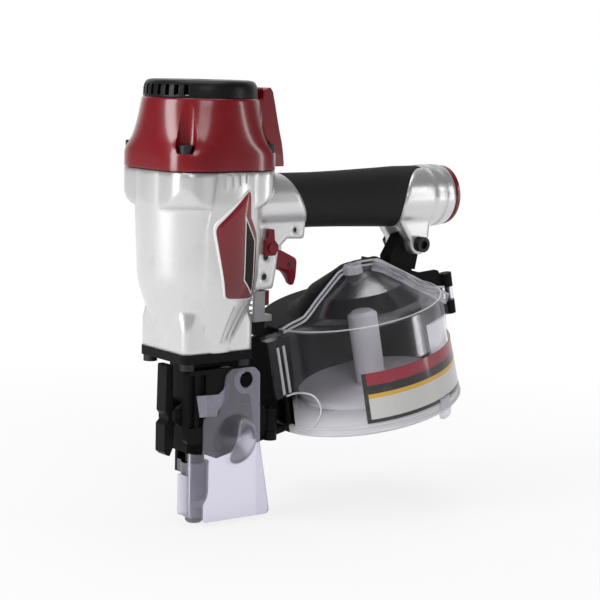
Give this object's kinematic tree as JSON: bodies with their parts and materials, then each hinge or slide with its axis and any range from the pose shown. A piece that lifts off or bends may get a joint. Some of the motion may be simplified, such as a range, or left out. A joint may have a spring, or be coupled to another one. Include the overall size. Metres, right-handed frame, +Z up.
{
  "type": "pneumatic coil nailer",
  "caption": "Compressed-air coil nailer with drum magazine, hinged clear cover, sliding contact foot, trigger, piston and driver, turning exhaust cap and air inlet.",
  "frame": {"origin": "centre of the nail exit at the tip of the contact foot, on the driver axis", "axes": "+Z up along the driver axis to the cap, +X along the handle to the air inlet, -Y to the side of the magazine's clear cover"},
  "size_m": [0.2407, 0.1241, 0.27],
  "materials": {
    "silver_casting": "satin cast",
    "crimson_cap": "crimson gloss paint",
    "crimson_plastic": "gloss",
    "badge": "gloss sticker, crimson with a dark stripe",
    "grip_rubber": "matt textured",
    "black_metal": "black satin",
    "black_plastic": "black satin",
    "feed_metal": "dark satin",
    "foot_steel": "dark blackened",
    "plate_steel": "zinc",
    "bolt_steel": "blackened",
    "bright_steel": "ground",
    "piston_metal": "turned",
    "spring_steel": "drawn wire",
    "seal_rubber": "matt",
    "clear_cover": "smoked clear plastic, gloss",
    "clear_shield": "clear plastic sheet",
    "label": "gloss sticker, blank",
    "grey_plastic": "satin"
  },
  "bodies": {
    "housing": {"main_body": "silver_casting", "cylinder_cap": "crimson_cap", "cap_gasket": "seal_rubber", "cap_bolts": "bolt_steel", "cylinder_sleeve": "bright_steel", "sleeve_seals": "seal_rubber", "bumper": "seal_rubber", "side_badge": "badge", "handle_grip": "grip_rubber", "end_cap": "crimson_cap", "roll_pins": "bolt_steel", "trigger_valve": "black_plastic", "nose_casting": "black_metal", "nose_bolts": "black_metal", "feed_cylinder": "feed_metal", "magazine_base": "black_plastic", "magazine_arm": "black_plastic", "lug_bolt": "black_metal", "magazine_spindle": "bolt_steel", "door_hinge_pin": "bolt_steel", "cover_hinge_pin": "bolt_steel", "latch_pin": "bolt_steel", "deflector_bolt": "bolt_steel"},
    "deflector": {"exhaust_deflector": "black_plastic"},
    "head_valve": {"head_valve": "piston_metal", "head_valve_seal": "seal_rubber", "head_valve_spring": "spring_steel"},
    "driver": {"piston": "piston_metal", "piston_ring": "seal_rubber", "driver_blade": "bright_steel"},
    "trigger": {"trigger": "crimson_plastic", "lever_pin": "bolt_steel"},
    "lever": {"trigger_lever": "plate_steel"},
    "stem": {"valve_stem": "bright_steel", "valve_spring": "spring_steel"},
    "lock": {"lock_lever": "crimson_plastic"},
    "contact": {"contact_foot": "foot_steel", "contact_arm": "black_metal", "contact_plate": "plate_steel", "contact_spring": "spring_steel"},
    "dial": {"depth_dial": "crimson_plastic"},
    "feed": {"feed_piston": "bright_steel", "pawl_pin": "bolt_steel"},
    "pawl": {"feed_pawl": "plate_steel"},
    "door": {"feed_door": "black_metal", "debris_shield": "clear_shield"},
    "latch": {"door_latch": "black_metal"},
    "cover": {"magazine_cover": "clear_cover", "cover_label": "label"},
    "support": {"nail_support": "grey_plastic"}
  },
  "joints": [
    {"name": "deflector_turn", "type": "hinge", "parent": "housing", "child": "deflector", "pos_m": [0, 0, 0.265], "axis": [0, 0, 1], "continuous": true},
    {"name": "head_valve_lift", "type": "slide", "parent": "housing", "child": "head_valve", "axis": [0, 0, 1], "range_m": [0, 0.006], "stiffness_N_per_m": 1500, "springref_m": -0.004, "deforming": ["head_valve_spring"]},
    {"name": "driver_stroke", "type": "slide", "parent": "housing", "child": "driver", "axis": [0, 0, -1], "range_m": [0, 0.094]},
    {"name": "trigger_pull", "type": "hinge", "parent": "housing", "child": "trigger", "pos_m": [0.042, 0, 0.163], "axis": [0, -1, 0], "range_deg": [0, 10]},
    {"name": "lever_tilt", "type": "hinge", "parent": "trigger", "child": "lever", "pos_m": [0.0644, 0, 0.1565], "axis": [0, 1, 0], "range_deg": [0, 8]},
    {"name": "valve_lift", "type": "slide", "parent": "housing", "child": "stem", "axis": [0, 0, 1], "range_m": [0, 0.0035], "stiffness_N_per_m": 300, "springref_m": -0.003, "deforming": ["valve_spring"]},
    {"name": "lock_turn", "type": "hinge", "parent": "housing", "child": "lock", "pos_m": [0.0442, -0.0139, 0.1686], "axis": [0, 1, 0], "range_deg": [0, 60]},
    {"name": "contact_lift", "type": "slide", "parent": "housing", "child": "contact", "axis": [0, 0, 1], "range_m": [0, 0.007], "stiffness_N_per_m": 300, "springref_m": -0.01, "deforming": ["contact_spring"]},
    {"name": "dial_turn", "type": "hinge", "parent": "contact", "child": "dial", "pos_m": [0.0484, 0, 0.136], "axis": [0, 0, 1], "continuous": true},
    {"name": "feed_stroke", "type": "slide", "parent": "housing", "child": "feed", "axis": [0.9781, 0, 0.2079], "range_m": [0, 0.008], "stiffness_N_per_m": 400, "springref_m": -0.005},
    {"name": "pawl_swing", "type": "hinge", "parent": "feed", "child": "pawl", "pos_m": [0.02472, 0.0162, 0.06032], "axis": [-0.2079, 0, 0.9781], "range_deg": [-10, 10]},
    {"name": "door_swing", "type": "hinge", "parent": "housing", "child": "door", "pos_m": [0.05, -0.009, 0.06], "axis": [0, 0, 1], "range_deg": [0, 85]},
    {"name": "latch_swing", "type": "hinge", "parent": "housing", "child": "latch", "pos_m": [-0.0175, 0, 0.069], "axis": [0, 1, 0], "range_deg": [0, 10], "stiffness_Nm_per_rad": 0.05, "springref_deg": -11.46},
    {"name": "cover_swing", "type": "hinge", "parent": "housing", "child": "cover", "pos_m": [0.1947, -0.0103, 0.13121], "axis": [-0.2079, 0, 0.9781], "range_deg": [0, 100]},
    {"name": "support_lift", "type": "slide", "parent": "housing", "child": "support", "axis": [-0.2079, 0, 0.9781], "range_m": [0, 0.02]}
  ],
  "couplings": [
    {"joint": "trigger_pull", "follows": "valve_lift", "rad_per_m": 49.8},
    {"joint": "lever_tilt", "follows": "contact_lift", "rad_per_m": 19.9}
  ]
}
